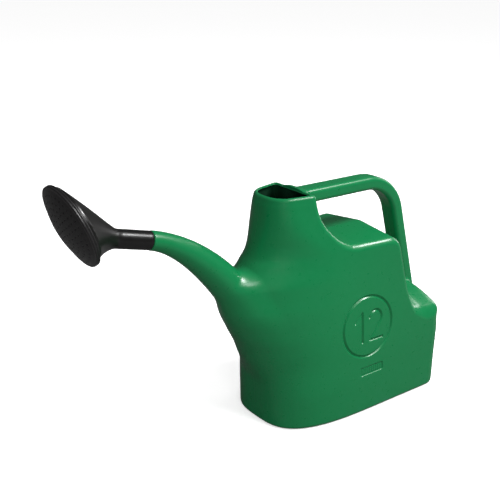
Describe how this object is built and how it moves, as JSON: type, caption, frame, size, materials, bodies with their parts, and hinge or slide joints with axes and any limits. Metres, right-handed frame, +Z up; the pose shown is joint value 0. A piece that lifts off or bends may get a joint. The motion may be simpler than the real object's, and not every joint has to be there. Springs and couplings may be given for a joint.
{
  "type": "watering can",
  "caption": "Plastic garden watering can with an open filler neck, an integral hollow handle, a long curved spout and a push-on rose with a perforated domed face.",
  "frame": {"origin": "middle of the flat base, on the ground", "axes": "+Z up, the spout and rose point to -X, the handle's grip is at +X, and the can is symmetric about the plane y = 0"},
  "size_m": [0.624, 0.18, 0.4232],
  "materials": {
    "green_plastic": "satin moulded polyethylene with a fine grain",
    "black_plastic": "semi-gloss moulded polypropylene"
  },
  "bodies": {
    "can": {"tank_shell": "green_plastic", "neck": "green_plastic", "spout": "green_plastic", "handle": "green_plastic"},
    "spigot": {"spout_spigot": "green_plastic"},
    "rose": {"rose_body": "black_plastic"},
    "face": {"rose_face": "black_plastic"}
  },
  "joints": [
    {"name": "rose_turn", "type": "hinge", "parent": "can", "child": "spigot", "pos_m": [-0.329, 0, 0.327], "axis": [-0.9668, 0, 0.2554], "continuous": true},
    {"name": "rose_pull", "type": "slide", "parent": "spigot", "child": "rose", "axis": [-0.9668, 0, 0.2554], "range_m": [0, 0.05]},
    {"name": "face_pull", "type": "slide", "parent": "rose", "child": "face", "axis": [-0.9391, 0, -0.3437], "range_m": [0, 0.03]}
  ]
}
